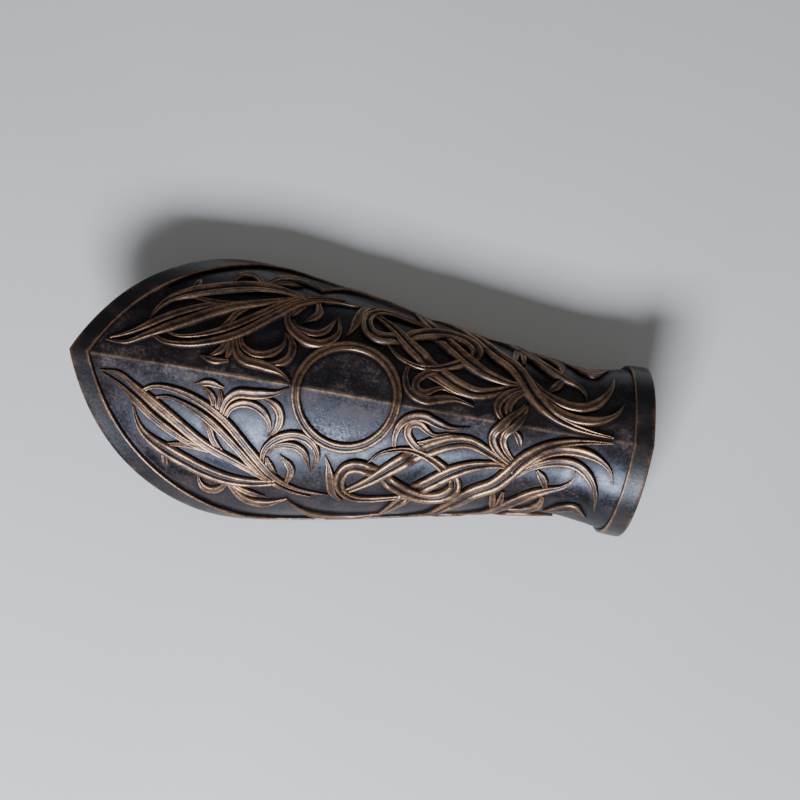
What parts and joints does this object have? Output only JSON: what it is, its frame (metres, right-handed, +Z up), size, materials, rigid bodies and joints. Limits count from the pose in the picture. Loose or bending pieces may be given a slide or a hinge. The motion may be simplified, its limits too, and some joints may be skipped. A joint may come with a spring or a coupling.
{
  "type": "bracer",
  "caption": "Stiff forearm guard with a sharp ridge, pointed elbow end, flared wrist and raised interlaced tendrils, open at the back for the arm and held by straps.",
  "frame": {"origin": "centre of the outline seen from above, at the level of the surface that it lies on", "axes": "+X from the elbow tip to the wrist, +Z up from the open back to the ridge, +Y across"},
  "size_m": [0.2753, 0.1266, 0.0596],
  "materials": {
    "shell_leather": "hardened and moulded, near-black brown patina with copper rubbed over the raised edges, semi-gloss",
    "border_leather": "hardened, near-black brown patina with copper rubbed along the edges, semi-gloss",
    "strap_leather": "plain and dull"
  },
  "bodies": {
    "root": {"shell": "shell_leather", "edge_rim": "border_leather", "wrist_rim": "border_leather", "ring_boss": "border_leather", "elbow_strap": "strap_leather", "wrist_strap": "strap_leather"}
  },
  "joints": []
}
